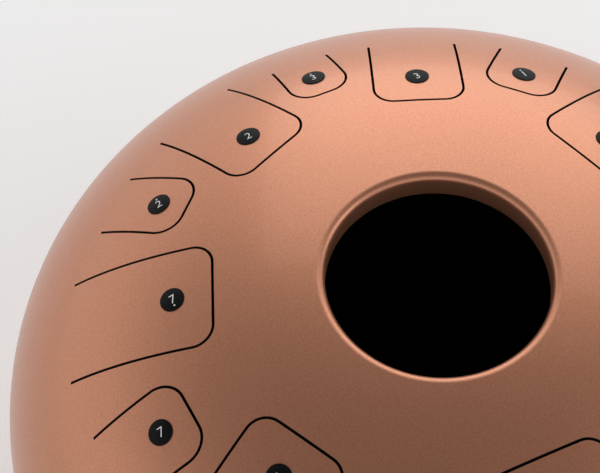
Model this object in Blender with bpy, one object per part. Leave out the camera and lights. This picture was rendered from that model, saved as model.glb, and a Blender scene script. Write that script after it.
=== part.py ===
"""Steel tongue drum: a domed shell with fourteen cut tongues round an open sound port, a closed belly
shell welded under it, numbered discs on the tongues and four rubber feet.

Metres, +Z up, origin on the surface the feet stand on, under the middle of the port. The player sits
at -Y, so the longest tongue points at -Y and the numbers read upright towards +Y.
"""
import math

import bmesh
import bpy
from mathutils import Matrix, Vector

for old in list(bpy.data.objects):
    bpy.data.objects.remove(old, do_unlink=True)

# Shells
DRUM_RADIUS = 0.178
CROWN_RISE = 0.1062
CROWN_FLATNESS = 2.48
SHOULDER_FULLNESS = 2.22
BELLY_DEPTH = 0.086
BELLY_FLATNESS = 3.2
BELLY_FULLNESS = 2.2
SHEET = 0.0016
AROUND = 72
DOME_RINGS = 13
BELLY_RINGS = 9

# Sound port in the crown, its edge turned down into a short neck
PORT_RADIUS = 0.0431
PORT_LIP_RADIUS = 0.0032
PORT_NECK_LENGTH = 0.0085
LIP_STEPS = 4

# Weld bead between the shells
WELD_HEIGHT = 0.001
WELD_CROWN = 0.0003

# Slots, and the gap kept between pieces that touch
SLOT_WIDTH = 0.0011
GAP = 0.0003
LARGE_CORNER = 0.0083
SMALL_CORNER = 0.0093
CORNER_STEPS = 6

# Numbered discs
DISC_RADIUS = 0.005
DISC_THICKNESS = 0.0004
DISC_SIDES = 20
LARGE_DISC_SETBACK = 0.0158
SMALL_DISC_SETBACK = 0.0128

# Rubber feet
FOOT_COUNT = 4
FOOT_CIRCLE_RADIUS = 0.082
FOOT_RADIUS = 0.012
FOOT_TAPER = 0.0015
FOOT_ROUND = 0.0012
FOOT_DROP = 0.005
FOOT_SIDES = 24

# Each tongue: bearing in degrees from +X, half width, and tip and root distances from the axis,
# all taken to the middle of its slot
LARGE_TONGUES = {
    "low_5": (270.0, 0.0246, 0.0804, 0.1440),
    "low_6": (19.4, 0.0233, 0.0830, 0.1430),
    "low_7": (158.6, 0.0219, 0.0858, 0.1428),
    "mid_1": (208.6, 0.0207, 0.0829, 0.1370),
    "mid_2": (111.6, 0.0197, 0.0877, 0.1376),
    "mid_3": (68.2, 0.0186, 0.0864, 0.1290),
    "mid_4": (331.4, 0.0180, 0.0880, 0.1290),
}
SMALL_TONGUES = {
    "mid_5": (239.5, 0.0172, 0.1046, 0.1425),
    "mid_6": (355.6, 0.0168, 0.1050, 0.1410),
    "mid_7": (184.7, 0.0162, 0.1057, 0.1401),
    "high_1": (44.7, 0.0148, 0.1010, 0.1312),
    "high_2": (134.4, 0.0140, 0.1051, 0.1387),
    "high_3": (90.0, 0.0126, 0.1035, 0.1316),
    "high_4": (300.5, 0.0122, 0.1046, 0.1300),
}

SEAM_HEIGHT = FOOT_DROP + BELLY_DEPTH
DOME_EDGE_HEIGHT = SEAM_HEIGHT + WELD_HEIGHT / 2 + GAP
BELLY_EDGE_HEIGHT = SEAM_HEIGHT - WELD_HEIGHT / 2 - GAP
CUTTER_TOP = SEAM_HEIGHT + CROWN_RISE * 1.2


def material(name, colour, roughness, metallic):
    """A plain surface finish."""
    finish = bpy.data.materials.new(name)
    finish.use_nodes = True
    shader = finish.node_tree.nodes["Principled BSDF"]
    shader.inputs["Base Color"].default_value = (*colour, 1.0)
    shader.inputs["Roughness"].default_value = roughness
    shader.inputs["Metallic"].default_value = metallic
    finish.diffuse_color = (*colour, 1.0)
    return finish


def new_object(name, bm, finish):
    """Turn a finished bmesh into a named object with its own finish."""
    mesh = bpy.data.meshes.new(name)
    bm.to_mesh(mesh)
    bm.free()
    obj = bpy.data.objects.new(name, mesh)
    bpy.context.collection.objects.link(obj)
    mesh.shade_smooth()
    mesh.set_sharp_from_angle(angle=math.radians(35))
    mesh.materials.append(finish)
    return obj


def lathe(section, sides, closed=True):
    """Turn a section of (radius, height) points about +Z into a solid."""
    bm = bmesh.new()
    points = [bm.verts.new((radius, 0.0, height)) for radius, height in section]
    pairs = list(zip(points, points[1:]))
    if closed:
        pairs.append((points[-1], points[0]))
    edges = [bm.edges.new(pair) for pair in pairs]
    bmesh.ops.spin(
        bm, geom=points + edges, cent=(0, 0, 0), axis=(0, 0, 1), angle=math.tau, steps=sides, use_merge=True
    )
    bmesh.ops.remove_doubles(bm, verts=bm.verts, dist=1e-6)
    bmesh.ops.recalc_face_normals(bm, faces=bm.faces)
    return bm


def crown_height(radius):
    """Height of the dome's outer face at a distance from the axis."""
    share = abs(radius / DRUM_RADIUS) ** CROWN_FLATNESS
    return DOME_EDGE_HEIGHT + CROWN_RISE * max(1 - share, 0.0) ** (1 / SHOULDER_FULLNESS)


def belly_height(radius):
    """Height of the belly's outer face at a distance from the axis."""
    share = abs(radius / DRUM_RADIUS) ** BELLY_FLATNESS
    return BELLY_EDGE_HEIGHT - (BELLY_EDGE_HEIGHT - FOOT_DROP) * max(1 - share, 0.0) ** (1 / BELLY_FULLNESS)


def slope_angle(height_of, radius):
    """Angle of a turned face from level at a distance from the axis."""
    step = DRUM_RADIUS * 1e-5
    if radius > DRUM_RADIUS - step:
        return -math.copysign(math.pi / 2, height_of(0.0) - height_of(DRUM_RADIUS))
    return math.atan2(height_of(radius + step) - height_of(radius - step), 2 * step)


def turned_faces(height_of, inner_radius, rings):
    """Outer points from the rim inwards, and the same points moved in by the sheet's thickness."""
    outward = 1 if height_of(0.0) > height_of(DRUM_RADIUS) else -1
    start = math.asin(inner_radius / DRUM_RADIUS)
    outer = []
    inner = []
    for ring in range(rings + 1):
        turn = math.pi / 2 + (start - math.pi / 2) * ring / rings
        radius = DRUM_RADIUS * math.sin(turn)
        height = height_of(radius)
        lean = slope_angle(height_of, radius)
        outer.append((radius, height))
        inner_point = radius + outward * SHEET * math.sin(lean)
        inner.append((max(inner_point, 0.0), height - outward * SHEET * math.cos(lean)))
    return outer, inner


def port_lip_start():
    """Distance from the axis at which the dome's face runs into the port's lip."""
    radius = PORT_RADIUS + PORT_LIP_RADIUS
    for _ in range(4):
        radius = PORT_RADIUS + PORT_LIP_RADIUS * (1 - math.sin(slope_angle(crown_height, radius)))
    return radius


def dome_section():
    """Closed section of the dome: rim, outer face, lip, neck and back along the inner face."""
    start = port_lip_start()
    outer, inner = turned_faces(crown_height, start, DOME_RINGS)
    lean = slope_angle(crown_height, start)
    centre_height = crown_height(start) - PORT_LIP_RADIUS * math.cos(lean)
    centre_radius = PORT_RADIUS + PORT_LIP_RADIUS
    lip = []
    throat = []
    for step in range(1, LIP_STEPS + 1):
        turn = math.pi / 2 + (math.pi / 2) * step / LIP_STEPS
        reach = Vector((math.cos(turn), math.sin(turn)))
        lip.append((centre_radius + PORT_LIP_RADIUS * reach.x, centre_height + PORT_LIP_RADIUS * reach.y))
        inside = PORT_LIP_RADIUS - SHEET
        throat.append((centre_radius + inside * reach.x, centre_height + inside * reach.y))
    foot = centre_height - PORT_NECK_LENGTH
    neck = [(PORT_RADIUS, foot), (PORT_RADIUS + SHEET, foot)]
    return outer + lip + neck + throat[::-1] + inner[::-1]


def belly_section():
    """Open section of the belly, from the pole out to the rim and back inside it to the pole."""
    outer, inner = turned_faces(belly_height, 0.0, BELLY_RINGS)
    return outer[::-1] + inner


def tongue_plan(tongue, corner, offset, root_offset):
    """Plan outline of a tongue or its window, offset outwards from the middle of the slot."""
    bearing, half_width, tip, root = tongue
    side = half_width + offset
    nose = tip - offset
    bend = corner + offset
    points = [(root + root_offset, -side)]
    for sign, first in ((-1, 0), (1, CORNER_STEPS)):
        for step in range(CORNER_STEPS + 1):
            turn = math.pi / 2 * abs(first - step) / CORNER_STEPS
            across = sign * (side - bend + bend * math.cos(turn))
            points.append((nose + bend - bend * math.sin(turn), across))
    points.append((root + root_offset, side))
    return points


def prism(outline, bearing):
    """Upright prism through the dome over a plan outline that is turned to its bearing."""
    bm = bmesh.new()
    base = [bm.verts.new((along, across, DOME_EDGE_HEIGHT)) for along, across in outline]
    face = bm.faces.new(base)
    wall = bmesh.ops.extrude_face_region(bm, geom=[face])
    raised = [item for item in wall["geom"] if isinstance(item, bmesh.types.BMVert)]
    bmesh.ops.translate(bm, verts=raised, vec=(0, 0, CUTTER_TOP - DOME_EDGE_HEIGHT))
    bmesh.ops.rotate(bm, verts=bm.verts, matrix=Matrix.Rotation(math.radians(bearing), 3, "Z"))
    bmesh.ops.recalc_face_normals(bm, faces=bm.faces)
    return bm


def cut(obj, cutter, operation):
    """Apply one exact Boolean to an object's mesh and drop the cutter."""
    modifier = obj.modifiers.new("cut", "BOOLEAN")
    modifier.operation = operation
    modifier.object = cutter
    bpy.context.view_layer.update()
    result = bpy.data.meshes.new_from_object(obj.evaluated_get(bpy.context.evaluated_depsgraph_get()))
    obj.modifiers.remove(modifier)
    obj.data = result
    result.name = obj.name
    bpy.data.objects.remove(cutter, do_unlink=True)


def cutter_from(bm):
    """A hidden cutting body."""
    mesh = bpy.data.meshes.new("cutter")
    bm.to_mesh(mesh)
    bm.free()
    body = bpy.data.objects.new("cutter", mesh)
    bpy.context.collection.objects.link(body)
    body.hide_render = True
    body.display_type = "WIRE"
    return body


def tongue_frame(tongue):
    """Frame of a tongue's flexing root: +X outwards, +Y along the root line, at mid sheet."""
    bearing, half_width, tip, root = tongue
    height = crown_height(math.hypot(root, half_width / 2)) - SHEET / 2
    turn = Matrix.Rotation(math.radians(bearing), 4, "Z")
    return turn @ Matrix.Translation((root, 0.0, height))


def disc_frame(tongue, setback):
    """Frame of a tongue's numbered disc: on the dome's face, +Z along its normal."""
    bearing, half_width, tip, root = tongue
    radius = tip + setback
    lean = slope_angle(crown_height, radius)
    turn = Matrix.Rotation(math.radians(bearing), 4, "Z")
    lift = Matrix.Translation((0.0, 0.0, GAP))
    place = Matrix.Translation((radius, 0.0, crown_height(radius)))
    return turn @ place @ Matrix.Rotation(-lean, 4, "Y") @ lift


def make_shell(all_tongues):
    """The dome with a window for every tongue."""
    shell = new_object("tongue_shell", lathe(dome_section(), AROUND), SHELL_PAINT)
    for tongue, corner, setback in all_tongues.values():
        outline = tongue_plan(tongue, corner, SLOT_WIDTH / 2, GAP)
        cut(shell, cutter_from(prism(outline, tongue[0])), "DIFFERENCE")
    return shell


def make_tongue(name, tongue, corner):
    """One tongue: the dome inside its slot, with its origin on the root it flexes about."""
    obj = new_object("tongue_" + name, lathe(dome_section(), AROUND), TONGUE_PAINT)
    outline = tongue_plan(tongue, corner, -SLOT_WIDTH / 2, 0.0)
    cut(obj, cutter_from(prism(outline, tongue[0])), "INTERSECT")
    root = tongue_frame(tongue)
    obj.data.transform(root.inverted())
    obj.matrix_world = root
    return obj


def make_disc(name, tongue, setback, carrier):
    """The numbered disc stuck on a tongue."""
    bm = bmesh.new()
    bmesh.ops.create_cone(
        bm, cap_ends=True, segments=DISC_SIDES, radius1=DISC_RADIUS, radius2=DISC_RADIUS, depth=DISC_THICKNESS
    )
    bmesh.ops.translate(bm, verts=bm.verts, vec=(0, 0, DISC_THICKNESS / 2))
    disc = new_object("number_disc_" + name, bm, DISC_FILM)
    disc.parent = carrier
    disc.matrix_local = tongue_frame(tongue).inverted() @ disc_frame(tongue, setback)
    return disc


def make_weld():
    """The bead that joins the two shells at their rims, a little proud of them."""
    outside = DRUM_RADIUS
    inside = DRUM_RADIUS - SHEET
    half = WELD_HEIGHT / 2
    section = [
        (inside, SEAM_HEIGHT + half),
        (outside, SEAM_HEIGHT + half),
        (outside + WELD_CROWN, SEAM_HEIGHT),
        (outside, SEAM_HEIGHT - half),
        (inside, SEAM_HEIGHT - half),
    ]
    return new_object("rim_weld", lathe(section, AROUND), WELD_PAINT)


def make_foot(index, belly_space):
    """A tapered rubber foot whose top follows the belly and whose underside is flat."""
    top = SEAM_HEIGHT
    section = [
        (0.0, 0.0),
        (FOOT_RADIUS - FOOT_TAPER - FOOT_ROUND, 0.0),
        (FOOT_RADIUS - FOOT_TAPER, FOOT_ROUND),
        (FOOT_RADIUS, FOOT_DROP),
        (FOOT_RADIUS, top),
        (0.0, top),
    ]
    foot = new_object(f"rubber_foot_{index + 1}", lathe(section, FOOT_SIDES, closed=False), FOOT_RUBBER)
    bearing = math.tau * (index + 0.5) / FOOT_COUNT
    place = Vector((FOOT_CIRCLE_RADIUS * math.cos(bearing), FOOT_CIRCLE_RADIUS * math.sin(bearing), 0.0))
    foot.data.transform(Matrix.Translation(place))
    cut(foot, cutter_from(belly_space()), "DIFFERENCE")
    foot.data.transform(Matrix.Translation(-place))
    foot.location = place
    return foot


def belly_space():
    """The belly's outside grown by the gap and filled up past the feet, to trim them with."""
    outer, _ = turned_faces(belly_height, 0.0, BELLY_RINGS)
    grown = [(radius, height - GAP) for radius, height in outer[::-1]]
    rim = (outer[0][0], SEAM_HEIGHT + FOOT_DROP)
    return lathe(grown + [rim, (0.0, rim[1])], AROUND, closed=False)


SHELL_PAINT = material("shell copper paint", (0.62, 0.36, 0.26), 0.28, 0.75)
TONGUE_PAINT = material("tongue copper paint", (0.64, 0.37, 0.27), 0.28, 0.75)
BELLY_PAINT = material("belly copper paint", (0.58, 0.33, 0.24), 0.3, 0.75)
WELD_PAINT = material("weld copper paint", (0.55, 0.31, 0.22), 0.35, 0.7)
DISC_FILM = material("black disc film", (0.015, 0.015, 0.016), 0.4, 0.0)
FOOT_RUBBER = material("black foot rubber", (0.02, 0.02, 0.02), 0.8, 0.0)

tongues = {name: (tongue, LARGE_CORNER, LARGE_DISC_SETBACK) for name, tongue in LARGE_TONGUES.items()}
tongues |= {name: (tongue, SMALL_CORNER, SMALL_DISC_SETBACK) for name, tongue in SMALL_TONGUES.items()}

make_shell(tongues)
for name, (tongue, corner, setback) in tongues.items():
    plate = make_tongue(name, tongue, corner)
    make_disc(name, tongue, setback, plate)
new_object("belly_shell", lathe(belly_section(), AROUND, closed=False), BELLY_PAINT)
make_weld()
for index in range(FOOT_COUNT):
    make_foot(index, belly_space)
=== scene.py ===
import math
from collections import namedtuple

import bmesh
import bpy
from mathutils import Matrix, Vector


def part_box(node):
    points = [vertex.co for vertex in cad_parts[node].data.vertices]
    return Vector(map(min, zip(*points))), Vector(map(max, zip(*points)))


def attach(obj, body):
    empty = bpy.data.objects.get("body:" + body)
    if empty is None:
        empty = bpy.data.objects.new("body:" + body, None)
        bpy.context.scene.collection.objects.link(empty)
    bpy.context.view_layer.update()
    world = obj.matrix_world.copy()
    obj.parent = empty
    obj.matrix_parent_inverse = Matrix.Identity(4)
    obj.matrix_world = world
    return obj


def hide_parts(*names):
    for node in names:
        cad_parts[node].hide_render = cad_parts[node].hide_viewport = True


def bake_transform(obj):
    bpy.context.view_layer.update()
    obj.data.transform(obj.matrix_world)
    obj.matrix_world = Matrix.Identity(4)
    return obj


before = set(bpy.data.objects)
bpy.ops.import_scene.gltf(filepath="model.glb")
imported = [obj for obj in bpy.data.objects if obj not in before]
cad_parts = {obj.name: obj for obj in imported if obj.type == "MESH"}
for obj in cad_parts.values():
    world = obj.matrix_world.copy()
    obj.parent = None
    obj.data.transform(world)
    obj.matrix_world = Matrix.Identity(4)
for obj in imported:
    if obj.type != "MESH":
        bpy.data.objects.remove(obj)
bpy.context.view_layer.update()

# Dome shell. A pressed steel bowl with fourteen laser-cut slots and a sound port whose edge is turned
# down into a short neck. Sprayed with copper metallic paint under a clear coat, black inside.
RIM = 0.178
CROWN_RISE = 0.1062
CROWN_FLATNESS = 2.48
SHOULDER_FULLNESS = 2.22
SHEET = 0.0016
PORT_RADIUS = 0.0431
PORT_LIP = 0.0032
NECK = 0.0085
SLOT = 0.0011
DOME_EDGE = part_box("tongue_shell")[0][2]

# Fineness of the meshes, the distance within which points merge, and the one over which slopes are read
SIDES = 288
DOME_RINGS = 52
LIP_STEPS = 12
NECK_STEPS = 8
CORNER_STEPS = 14
SMOOTH_ANGLE = math.radians(32)
MERGE = 1e-6
NUDGE = RIM * 1e-5

# Bearing in degrees, half width, tip and root distances, corner radius, disc setback, number, octave
Tongue = namedtuple("Tongue", "bearing half tip root corner setback digit octave")
LARGE_CORNER = 0.0083
SMALL_CORNER = 0.0093
LARGE_SETBACK = 0.0158
SMALL_SETBACK = 0.0128
TONGUES = {
    "low_5": Tongue(270.0, 0.0246, 0.0804, 0.1440, LARGE_CORNER, LARGE_SETBACK, "5", -1),
    "low_6": Tongue(19.4, 0.0233, 0.0830, 0.1430, LARGE_CORNER, LARGE_SETBACK, "6", -1),
    "low_7": Tongue(158.6, 0.0219, 0.0858, 0.1428, LARGE_CORNER, LARGE_SETBACK, "7", -1),
    "mid_1": Tongue(208.6, 0.0207, 0.0829, 0.1370, LARGE_CORNER, LARGE_SETBACK, "1", 0),
    "mid_2": Tongue(111.6, 0.0197, 0.0877, 0.1376, LARGE_CORNER, LARGE_SETBACK, "2", 0),
    "mid_3": Tongue(68.2, 0.0186, 0.0864, 0.1290, LARGE_CORNER, LARGE_SETBACK, "3", 0),
    "mid_4": Tongue(331.4, 0.0180, 0.0880, 0.1290, LARGE_CORNER, LARGE_SETBACK, "4", 0),
    "mid_5": Tongue(239.5, 0.0172, 0.1046, 0.1425, SMALL_CORNER, SMALL_SETBACK, "5", 0),
    "mid_6": Tongue(355.6, 0.0168, 0.1050, 0.1410, SMALL_CORNER, SMALL_SETBACK, "6", 0),
    "mid_7": Tongue(184.7, 0.0162, 0.1057, 0.1401, SMALL_CORNER, SMALL_SETBACK, "7", 0),
    "high_1": Tongue(44.7, 0.0148, 0.1010, 0.1312, SMALL_CORNER, SMALL_SETBACK, "1", 1),
    "high_2": Tongue(134.4, 0.0140, 0.1051, 0.1387, SMALL_CORNER, SMALL_SETBACK, "2", 1),
    "high_3": Tongue(90.0, 0.0126, 0.1035, 0.1316, SMALL_CORNER, SMALL_SETBACK, "3", 1),
    "high_4": Tongue(300.5, 0.0122, 0.1046, 0.1300, SMALL_CORNER, SMALL_SETBACK, "4", 1),
}


def copper_paint():
    """Copper metallic paint: fine flake in the colour, a little orange peel, glossy clear coat."""
    paint = bpy.data.materials.new("copper paint")
    paint.use_nodes = True
    nodes = paint.node_tree.nodes
    links = paint.node_tree.links
    shader = nodes["Principled BSDF"]
    place = nodes.new("ShaderNodeTexCoord")
    flake = nodes.new("ShaderNodeTexNoise")
    flake.inputs["Scale"].default_value = 1400
    flake.inputs["Detail"].default_value = 3
    drift = nodes.new("ShaderNodeTexNoise")
    drift.inputs["Scale"].default_value = 9
    ramp = nodes.new("ShaderNodeValToRGB")
    ramp.color_ramp.elements[0].position = 0.32
    ramp.color_ramp.elements[0].color = (0.515, 0.21, 0.118, 1)
    ramp.color_ramp.elements[1].position = 0.7
    ramp.color_ramp.elements[1].color = (0.6, 0.262, 0.155, 1)
    rough = nodes.new("ShaderNodeMapRange")
    rough.inputs["To Min"].default_value = 0.3
    rough.inputs["To Max"].default_value = 0.42
    bump = nodes.new("ShaderNodeBump")
    bump.inputs["Strength"].default_value = 0.06
    bump.inputs["Distance"].default_value = 0.0002
    links.new(place.outputs["Object"], flake.inputs["Vector"])
    links.new(place.outputs["Object"], drift.inputs["Vector"])
    links.new(flake.outputs["Fac"], ramp.inputs["Fac"])
    links.new(ramp.outputs["Color"], shader.inputs["Base Color"])
    links.new(drift.outputs["Fac"], rough.inputs["Value"])
    links.new(rough.outputs["Result"], shader.inputs["Roughness"])
    links.new(flake.outputs["Fac"], bump.inputs["Height"])
    links.new(bump.outputs["Normal"], shader.inputs["Normal"])
    shader.inputs["Metallic"].default_value = 0.75
    shader.inputs["Coat Weight"].default_value = 0.25
    shader.inputs["Coat Roughness"].default_value = 0.06
    return paint


def mottled_finish(name, low, high, scale, roughness, specular=0.5):
    """A plain finish with slight mottling: inside coat, disc film, print or rubber."""
    finish = bpy.data.materials.new(name)
    finish.use_nodes = True
    nodes = finish.node_tree.nodes
    links = finish.node_tree.links
    shader = nodes["Principled BSDF"]
    place = nodes.new("ShaderNodeTexCoord")
    mottle = nodes.new("ShaderNodeTexNoise")
    mottle.inputs["Scale"].default_value = scale
    ramp = nodes.new("ShaderNodeValToRGB")
    ramp.color_ramp.elements[0].color = (*low, 1)
    ramp.color_ramp.elements[1].color = (*high, 1)
    bump = nodes.new("ShaderNodeBump")
    bump.inputs["Strength"].default_value = 0.12
    bump.inputs["Distance"].default_value = 0.0002
    links.new(place.outputs["Object"], mottle.inputs["Vector"])
    links.new(mottle.outputs["Fac"], ramp.inputs["Fac"])
    links.new(ramp.outputs["Color"], shader.inputs["Base Color"])
    links.new(mottle.outputs["Fac"], bump.inputs["Height"])
    links.new(bump.outputs["Normal"], shader.inputs["Normal"])
    shader.inputs["Roughness"].default_value = roughness
    shader.inputs["Specular IOR Level"].default_value = specular
    return finish


COPPER = copper_paint()
INSIDE = mottled_finish("black inside coat", (0.016, 0.012, 0.01), (0.026, 0.021, 0.017), 300, 0.75, 0.12)


def crown(radius):
    """Height of the dome's outer face."""
    share = min(abs(radius) / RIM, 1.0) ** CROWN_FLATNESS
    return DOME_EDGE + CROWN_RISE * (1 - share) ** (1 / SHOULDER_FULLNESS)


def crown_lean(radius):
    """Slope angle of the dome's outer face."""
    if radius > RIM - NUDGE:
        return -math.pi / 2
    return math.atan2(crown(radius + NUDGE) - crown(radius - NUDGE), 2 * NUDGE)


def spun(points, closed):
    """Spin a section about the drum's axis into a closed body."""
    bm = bmesh.new()
    verts = [bm.verts.new((radius, 0.0, height)) for radius, height in points]
    pairs = list(zip(verts, verts[1:])) + ([(verts[-1], verts[0])] if closed else [])
    edges = [bm.edges.new(pair) for pair in pairs]
    bmesh.ops.spin(
        bm, geom=verts + edges, cent=(0, 0, 0), axis=(0, 0, 1), angle=math.tau, steps=SIDES, use_merge=True
    )
    bmesh.ops.remove_doubles(bm, verts=bm.verts, dist=MERGE)
    bmesh.ops.recalc_face_normals(bm, faces=bm.faces)
    return bm


def piece(name, bm, *finishes):
    """A finished piece at the origin, shaded smooth except over sharp edges."""
    mesh = bpy.data.meshes.new(name)
    bm.to_mesh(mesh)
    bm.free()
    obj = bpy.data.objects.new(name, mesh)
    bpy.context.scene.collection.objects.link(obj)
    mesh.shade_smooth()
    mesh.set_sharp_from_angle(angle=SMOOTH_ANGLE)
    for finish in finishes:
        mesh.materials.append(finish)
    return obj


# Where the lip's roll leaves the dome's outer face; each pass reads the slope at the last answer
LIP_PASSES = 4
LIP_START = PORT_RADIUS + PORT_LIP
for _ in range(LIP_PASSES):
    LIP_START = PORT_RADIUS + PORT_LIP * (1 - math.sin(crown_lean(LIP_START)))


def dome_section():
    """Rim, outer face, rounded lip, neck, and back along the inner face."""
    start = math.asin(LIP_START / RIM)
    outer = []
    inner = []
    for ring in range(DOME_RINGS + 1):
        turn = math.pi / 2 + (start - math.pi / 2) * ring / DOME_RINGS
        radius = RIM * math.sin(turn)
        lean = crown_lean(radius)
        outer.append((radius, crown(radius)))
        if ring % 2 == 0:
            inner.append((radius + SHEET * math.sin(lean), crown(radius) - SHEET * math.cos(lean)))
    axis = PORT_RADIUS + PORT_LIP
    level = crown(LIP_START) - PORT_LIP * math.cos(crown_lean(LIP_START))
    inside = PORT_LIP - SHEET
    lip = []
    throat = []
    for step in range(1, LIP_STEPS + 1):
        turn = math.pi / 2 * (1 + step / LIP_STEPS)
        lip.append((axis + PORT_LIP * math.cos(turn), level + PORT_LIP * math.sin(turn)))
        throat.append((axis + inside * math.cos(turn), level + inside * math.sin(turn)))
    edge = SHEET / 2
    neck = []
    for step in range(NECK_STEPS + 1):
        turn = math.pi * (1 + step / NECK_STEPS)
        radius = PORT_RADIUS + edge + edge * math.cos(turn)
        neck.append((radius, level - NECK + edge + edge * math.sin(turn)))
    return outer + lip + neck + throat[::-1] + inner[::-1]


def plan(tongue, offset):
    """Plan outline of a tongue (negative offset) or of its window (positive)."""
    side = tongue.half + offset
    nose = tongue.tip - offset
    bend = tongue.corner + offset
    points = [(tongue.root, -side)]
    for sign, first in ((-1, 0), (1, CORNER_STEPS)):
        for step in range(CORNER_STEPS + 1):
            turn = math.pi / 2 * abs(first - step) / CORNER_STEPS
            along = nose + bend - bend * math.sin(turn)
            across = sign * (side - bend + bend * math.cos(turn))
            points.append((along, across))
    return points + [(tongue.root, side)]


CUTTER_RISE = CROWN_RISE * 1.3


def prisms(offset):
    """One cutting body with an upright prism over every tongue."""
    bm = bmesh.new()
    for tongue in TONGUES.values():
        turn = Matrix.Rotation(math.radians(tongue.bearing), 4, "Z")
        base = []
        for along, across in plan(tongue, offset):
            base.append(bm.verts.new(turn @ Vector((along, across, DOME_EDGE))))
        face = bm.faces.new(base)
        grown = bmesh.ops.extrude_face_region(bm, geom=[face])
        top = [item for item in grown["geom"] if isinstance(item, bmesh.types.BMVert)]
        bmesh.ops.translate(bm, verts=top, vec=(0, 0, CUTTER_RISE))
    bmesh.ops.recalc_face_normals(bm, faces=bm.faces)
    return piece("cutter", bm)


def cut_dome(offset, operation):
    """The fine dome cut by all the tongues' prisms at once, as a mesh."""
    dome = piece("dome", spun(dome_section(), True))
    cutter = prisms(offset)
    modifier = dome.modifiers.new("cut", "BOOLEAN")
    modifier.operation = operation
    modifier.object = cutter
    bpy.context.view_layer.update()
    mesh = bpy.data.meshes.new_from_object(dome.evaluated_get(bpy.context.evaluated_depsgraph_get()))
    bpy.data.objects.remove(dome, do_unlink=True)
    bpy.data.objects.remove(cutter, do_unlink=True)
    return mesh


# Which faces of the cut dome are painted: how squarely they face up, out or over the lip, and where
FACING_UP = 0.9
FACING_OUT = 0.3
LIP_FACING_UP = 0.05
STEEP_REACH = RIM * 0.96
ROUND_REACH = RIM * 0.999
NECK_REACH = PORT_RADIUS + PORT_LIP * 1.2


def finish_dome(obj):
    """Paint the outer face and neck copper and the rest black, and shade the outer face as one surface."""
    mesh = obj.data
    mesh.materials.clear()
    mesh.materials.append(COPPER)
    mesh.materials.append(INSIDE)
    normals = []
    for polygon in mesh.polygons:
        centre = polygon.center
        reach = math.hypot(centre.x, centre.y)
        lean = crown_lean(reach)
        outward = Vector((centre.x / reach, centre.y / reach, 0))
        upward = Vector((0, 0, math.cos(lean))) - math.sin(lean) * outward
        near_skin = crown(reach) - centre.z < SHEET / 2
        on_top = reach > LIP_START and polygon.normal.dot(upward) > FACING_UP and near_skin
        at_rim = reach > STEEP_REACH and polygon.normal.dot(outward) > FACING_OUT
        in_neck = reach < NECK_REACH and polygon.normal.dot(outward) < 0
        in_lip = reach <= LIP_START and polygon.normal.z > LIP_FACING_UP
        on_skin = on_top or at_rim
        polygon.material_index = 0 if on_skin or in_neck or in_lip else 1
        for index in polygon.vertices:
            spot = mesh.vertices[index].co
            radius = math.hypot(spot.x, spot.y)
            if on_skin and radius < ROUND_REACH:
                lean = crown_lean(radius)
                slip = -math.sin(lean) / radius
                normals.append((slip * spot.x, slip * spot.y, math.cos(lean)))
            else:
                normals.append((0, 0, 0))
    mesh.normals_split_custom_set(normals)


shell_mesh = cut_dome(SLOT / 2, "DIFFERENCE")
shell_mesh.name = "dome_shell"
dome_shell = bpy.data.objects.new("dome_shell", shell_mesh)
bpy.context.scene.collection.objects.link(dome_shell)
finish_dome(dome_shell)
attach(dome_shell, "drum_body")
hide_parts("tongue_shell")

# Tongues. Each is the same sheet as the dome inside its own slot, left whole at the root, where it
# bends when it is struck. It keeps the dome's paint and its cut edges are dark.
tongue_mesh = cut_dome(-SLOT / 2, "INTERSECT")


def make_tongue(name, tongue):
    """Take one tongue out of the cut dome and finish it like the dome."""
    bm = bmesh.new()
    bm.from_mesh(tongue_mesh)
    unturn = Matrix.Rotation(-math.radians(tongue.bearing), 4, "Z")
    outside = []
    for vert in bm.verts:
        local = unturn @ vert.co
        if abs(local.y) > tongue.half or not tongue.tip - SLOT < local.x < tongue.root + SLOT:
            outside.append(vert)
    bmesh.ops.delete(bm, geom=outside, context="VERTS")
    plate = piece("tongue_plate_" + name, bm)
    finish_dome(plate)
    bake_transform(plate)
    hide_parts("tongue_" + name)


for name, tongue in TONGUES.items():
    make_tongue(name, tongue)

# Number discs. Black film discs stuck on the tongues near their tips, printed in white with the
# note's number and a dot above or below it for the octave; all read upright from the player's side.
DISC_RADIUS = 0.005
DISC_THICKNESS = 0.00035
DISC_BEVEL = DISC_THICKNESS / 5
DISC_SIDES = 64
SUNK_SHARE = 0.1
DIGIT_HEIGHT = 0.0041
DIGIT_SHARE_OF_TYPE = 0.73
STROKE_TRIM = 0.00007
DOT_RADIUS = 0.00036
DOT_OFFSET = 0.0030
DOT_SIDES = 16
PRINT = 0.00006
FILM = mottled_finish("black disc film", (0.003, 0.003, 0.0033), (0.006, 0.006, 0.0065), 900, 0.4, 0.1)
WHITE = mottled_finish("white print", (0.78, 0.78, 0.76), (0.86, 0.86, 0.85), 900, 0.5)


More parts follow.
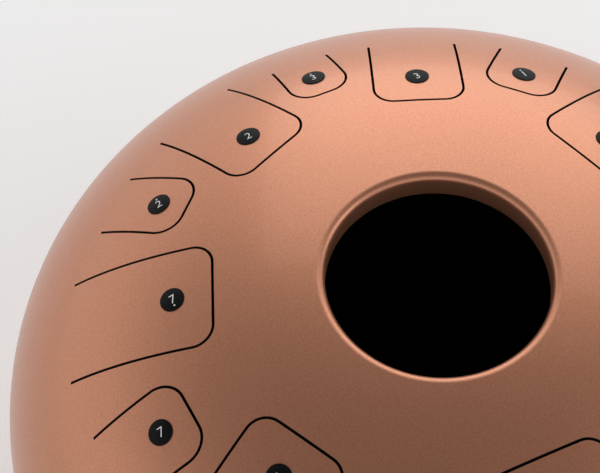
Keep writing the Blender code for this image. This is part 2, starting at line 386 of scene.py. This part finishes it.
def printed_number(digit, octave):
    """The number and its octave dot as one thin mesh, drawn upright about the origin."""
    text = bpy.data.curves.new("digit", "FONT")
    text.body = digit
    text.size = DIGIT_HEIGHT / DIGIT_SHARE_OF_TYPE
    text.align_x = "CENTER"
    text.align_y = "CENTER"
    text.offset = -STROKE_TRIM
    holder = bpy.data.objects.new("digit", text)
    bpy.context.scene.collection.objects.link(holder)
    bpy.context.view_layer.update()
    mesh = bpy.data.meshes.new_from_object(holder.evaluated_get(bpy.context.evaluated_depsgraph_get()))
    bpy.data.objects.remove(holder, do_unlink=True)
    bm = bmesh.new()
    bm.from_mesh(mesh)
    middle = sum((vert.co for vert in bm.verts), Vector()) / len(bm.verts)
    low = min(vert.co.y for vert in bm.verts)
    high = max(vert.co.y for vert in bm.verts)
    bmesh.ops.translate(bm, verts=bm.verts, vec=(-middle.x, -(low + high) / 2, 0))
    if octave:
        spot = Matrix.Translation((0, DOT_OFFSET * octave, 0))
        bmesh.ops.create_circle(bm, cap_ends=True, segments=DOT_SIDES, radius=DOT_RADIUS, matrix=spot)
    bmesh.ops.remove_doubles(bm, verts=bm.verts, dist=MERGE)
    bmesh.ops.recalc_face_normals(bm, faces=bm.faces)
    if sum(face.normal.z for face in bm.faces) < 0:
        bmesh.ops.reverse_faces(bm, faces=bm.faces)
    raised = bmesh.ops.extrude_face_region(bm, geom=bm.faces[:], use_keep_orig=True)
    top = [item for item in raised["geom"] if isinstance(item, bmesh.types.BMVert)]
    bmesh.ops.translate(bm, verts=top, vec=(0, 0, PRINT))
    bmesh.ops.recalc_face_normals(bm, faces=bm.faces)
    return bm


def make_disc(name, tongue):
    """Disc and print, laid on the dome's face and turned so the number is upright."""
    radius = tongue.tip + tongue.setback
    lean = crown_lean(radius)
    turn = Matrix.Rotation(math.radians(tongue.bearing), 4, "Z")
    place = turn @ Matrix.Translation((radius, 0, crown(radius))) @ Matrix.Rotation(-lean, 4, "Y")
    upright = Matrix.Rotation(-math.radians(tongue.bearing), 4, "Z")
    to_middle = Matrix.Translation((0, 0, DISC_THICKNESS * (0.5 - SUNK_SHARE)))
    to_top = Matrix.Translation((0, 0, DISC_THICKNESS * (1 - SUNK_SHARE)))
    bm = bmesh.new()
    bmesh.ops.create_cone(
        bm,
        cap_ends=True,
        segments=DISC_SIDES,
        radius1=DISC_RADIUS,
        radius2=DISC_RADIUS,
        depth=DISC_THICKNESS,
    )
    rim = [edge for edge in bm.edges if len({vert.co.z > 0 for vert in edge.verts}) == 1]
    bmesh.ops.bevel(
        bm, geom=rim, offset=DISC_BEVEL, affect="EDGES", segments=2, profile=0.5, material=-1
    )
    bmesh.ops.transform(bm, verts=bm.verts, matrix=place @ to_middle)
    disc = piece("disc_" + name, bm, FILM)
    bm = printed_number(tongue.digit, tongue.octave)
    bmesh.ops.transform(bm, verts=bm.verts, matrix=place @ upright @ to_top)
    number = piece("number_" + name, bm, WHITE)
    for part in (disc, number):
        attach(part, "tongue_" + name)
    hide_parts("number_disc_" + name)


for name, tongue in TONGUES.items():
    make_disc(name, tongue)

# Belly shell and weld. A shallower pressed bowl butt-welded under the dome; the bead is ground and
# painted over with the shells, and leaves a faint raised line round the rim.
BELLY_FLATNESS = 3.2
BELLY_FULLNESS = 2.2
BELLY_RINGS = 44
BELLY_LEVEL = 0.02
BEAD_STEPS = 12
BEAD_OVERLAP = SHEET * 0.05
belly_low, belly_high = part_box("belly_shell")
weld_low, weld_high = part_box("rim_weld")


def belly(radius):
    """Height of the belly's outer face."""
    share = min(abs(radius) / RIM, 1.0) ** BELLY_FLATNESS
    return belly_high[2] - (belly_high[2] - belly_low[2]) * (1 - share) ** (1 / BELLY_FULLNESS)


outer = []
inner = []
for ring in range(BELLY_RINGS + 1):
    radius = RIM * math.cos(math.pi / 2 * ring / BELLY_RINGS)
    lean = math.pi / 2
    if ring:
        lean = math.atan2(belly(radius + NUDGE) - belly(radius - NUDGE), 2 * NUDGE)
    outer.append((max(radius, 0.0), belly(radius)))
    inner.append((max(radius - SHEET * math.sin(lean), 0.0), belly(radius) + SHEET * math.cos(lean)))
outer[-1] = (0.0, outer[-1][1])
inner[-1] = (0.0, inner[-1][1])
belly_skin = piece("belly_skin", spun(outer[::-1] + inner, False), COPPER, INSIDE)
for polygon in belly_skin.data.polygons:
    faces_up = polygon.normal.z > BELLY_LEVEL
    faces_in = polygon.normal.z > -BELLY_LEVEL and polygon.normal.dot(polygon.center) < 0
    polygon.material_index = 1 if faces_up or faces_in else 0
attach(belly_skin, "drum_body")
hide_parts("belly_shell")

bead_middle = (weld_low[2] + weld_high[2]) / 2
bead_half = (DOME_EDGE - belly_high[2]) / 2
bead = []
for step in range(BEAD_STEPS + 1):
    turn = math.pi / 2 - math.pi * step / BEAD_STEPS
    proud = (weld_high[0] - RIM) * math.cos(turn)
    bead.append((RIM - BEAD_OVERLAP + proud, bead_middle + bead_half * math.sin(turn)))
bead += [(RIM - SHEET, bead_middle - bead_half), (RIM - SHEET, bead_middle + bead_half)]
weld_bead = piece("weld_bead", spun(bead, True), COPPER)
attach(weld_bead, "drum_body")
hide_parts("rim_weld")

# Rubber feet. Four moulded black feet glued to the belly, with a tapered side and a flat underside.
# They keep the construction's own solids.
FEET = 4
RUBBER = mottled_finish("black foot rubber", (0.012, 0.012, 0.012), (0.03, 0.03, 0.029), 500, 0.8)
for index in range(1, FEET + 1):
    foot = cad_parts[f"rubber_foot_{index}"]
    foot.data.materials.clear()
    foot.data.materials.append(RUBBER)

# Floor, lights and camera. A pale floor in a room that is white at the horizon and dim overhead, lit by
# two broad soft lights. The camera stands to the player's left and looks down at the port.
FLOOR_SIZE = 6.0
bm = bmesh.new()
bmesh.ops.create_grid(bm, x_segments=1, y_segments=1, size=FLOOR_SIZE)
PALE = bpy.data.materials.new("pale floor")
PALE.use_nodes = True
floor_shader = PALE.node_tree.nodes["Principled BSDF"]
floor_shader.inputs["Base Color"].default_value = (0.93, 0.93, 0.93, 1)
floor_shader.inputs["Roughness"].default_value = 0.9
floor_shader.inputs["Emission Color"].default_value = (1, 1, 1, 1)
floor_shader.inputs["Emission Strength"].default_value = 0.18
piece("floor", bm, PALE)

ZENITH = (0.16, 0.16, 0.16, 1)
HORIZON = (1.0, 1.0, 1.0, 1)
bpy.context.scene.view_settings.view_transform = "Standard"
world = bpy.data.worlds.new("studio")
bpy.context.scene.world = world
world.use_nodes = True
sky = world.node_tree.nodes
sky_links = world.node_tree.links
direction = sky.new("ShaderNodeTexCoord")
height = sky.new("ShaderNodeSeparateXYZ")
fade = sky.new("ShaderNodeValToRGB")
fade.color_ramp.interpolation = "EASE"
fade.color_ramp.elements[0].position = 0.35
fade.color_ramp.elements[0].color = HORIZON
fade.color_ramp.elements[1].position = 0.95
fade.color_ramp.elements[1].color = ZENITH
sky_links.new(direction.outputs["Generated"], height.inputs["Vector"])
sky_links.new(height.outputs["Z"], fade.inputs["Fac"])
sky_links.new(fade.outputs["Color"], sky["Background"].inputs["Color"])

PLAYER_TURN = math.radians(-31.6)
LIGHT_AIM = Vector((0, 0, 0.15))


def soft_light(name, size, power, spot):
    """A square soft light aimed at the dome, its place given in the camera's own heading."""
    light = bpy.data.lights.new(name, "AREA")
    light.shape = "SQUARE"
    light.size = size
    light.energy = power
    lamp = bpy.data.objects.new(name, light)
    bpy.context.scene.collection.objects.link(lamp)
    lamp.location = Matrix.Rotation(PLAYER_TURN, 3, "Z") @ Vector(spot)
    lamp.rotation_euler = (LIGHT_AIM - lamp.location).to_track_quat("-Z", "Y").to_euler()


soft_light("key", size=1.7, power=10.5, spot=(0.0, 1.5, 1.15))
soft_light("side", size=0.9, power=2.5, spot=(1.6, 0.1, 0.8))

FOCAL_PIXELS = 1585.5
FRAME_WIDTH = 600
FRAME_HEIGHT = 473
CENTRE_X = 301.5
CENTRE_Y = 216.1
SENSOR_WIDTH = 36
RANGE = 3.8864 * RIM
STAND_ANGLE = math.radians(63.42)
LOOK_ANGLE = math.radians(57.09)
YAW = math.radians(-9.48)
ROLL = math.radians(-2.12)
ahead = math.cos(LOOK_ANGLE)
look = Vector((math.sin(YAW) * ahead, math.cos(YAW) * ahead, -math.sin(LOOK_ANGLE)))
level = Vector((math.cos(YAW), -math.sin(YAW), 0))
plumb = level.cross(look)
right = math.cos(ROLL) * level + math.sin(ROLL) * plumb
up = math.cos(ROLL) * plumb - math.sin(ROLL) * level
basis = Matrix((right, up, -look)).transposed().to_4x4()
stand = Vector((0, -RANGE * math.cos(STAND_ANGLE), RANGE * math.sin(STAND_ANGLE) + DOME_EDGE))
lens = bpy.data.cameras.new("camera")
lens.sensor_width = SENSOR_WIDTH
lens.lens = FOCAL_PIXELS / FRAME_WIDTH * SENSOR_WIDTH
lens.shift_x = (FRAME_WIDTH / 2 - CENTRE_X) / FRAME_WIDTH
lens.shift_y = (CENTRE_Y - FRAME_HEIGHT / 2) / FRAME_WIDTH
camera = bpy.data.objects.new("camera", lens)
bpy.context.scene.collection.objects.link(camera)
camera.matrix_world = Matrix.Rotation(PLAYER_TURN, 4, "Z") @ Matrix.Translation(stand) @ basis
bpy.context.scene.camera = camera

bpy.context.view_layer.update()
